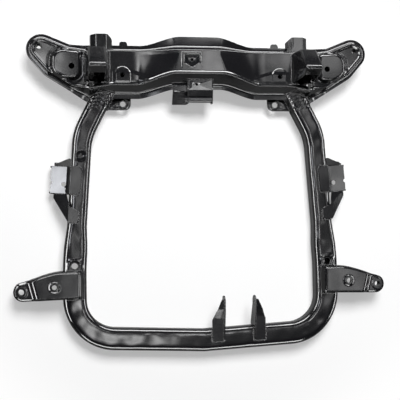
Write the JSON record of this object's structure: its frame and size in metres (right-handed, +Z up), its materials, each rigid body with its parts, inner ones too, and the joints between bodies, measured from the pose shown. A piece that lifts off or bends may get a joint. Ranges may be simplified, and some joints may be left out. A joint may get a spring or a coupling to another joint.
{
  "type": "vehicle front subframe",
  "caption": "Welded steel front subframe: bent tube, pressed crossmember with wings, arm brackets, outriggers and engine mount ears.",
  "frame": {"origin": "centre of the overall box, on the plane the subframe rests on", "axes": "+X to the right across the car, +Y from the front tube to the crossmember, +Z up"},
  "size_m": [0.9758, 0.824, 0.1849],
  "materials": {
    "black_electrocoat": "satin",
    "coated_hardware": "satin"
  },
  "bodies": {
    "root": {"crossmember_upper_shell": "black_electrocoat", "crossmember_lower_shell": "black_electrocoat", "bent_tube": "black_electrocoat", "left_tower_hood": "black_electrocoat", "right_tower_hood": "black_electrocoat", "left_rear_channel": "black_electrocoat", "right_rear_channel": "black_electrocoat", "centre_bracket": "black_electrocoat", "centre_spacer_tube": "coated_hardware", "left_tie_plate": "black_electrocoat", "right_tie_plate": "black_electrocoat", "left_outrigger_shell": "black_electrocoat", "right_outrigger_shell": "black_electrocoat", "left_outrigger_plate": "black_electrocoat", "right_outrigger_plate": "black_electrocoat", "left_outrigger_sleeve": "coated_hardware", "right_outrigger_sleeve": "coated_hardware", "left_wing_sleeve": "coated_hardware", "right_wing_sleeve": "coated_hardware", "left_pad_sleeve": "coated_hardware", "right_pad_sleeve": "coated_hardware", "left_tube_sleeve": "coated_hardware", "right_tube_sleeve": "coated_hardware", "left_arm_bracket": "black_electrocoat", "right_arm_bracket": "black_electrocoat", "left_arm_rear_gusset": "black_electrocoat", "right_arm_rear_gusset": "black_electrocoat", "left_arm_front_gusset": "black_electrocoat", "right_arm_front_gusset": "black_electrocoat", "left_front_ear": "black_electrocoat", "right_front_ear": "black_electrocoat", "left_rack_nut": "coated_hardware", "right_rack_nut": "coated_hardware", "left_pivot_nut": "coated_hardware", "right_pivot_nut": "coated_hardware"}
  },
  "joints": []
}
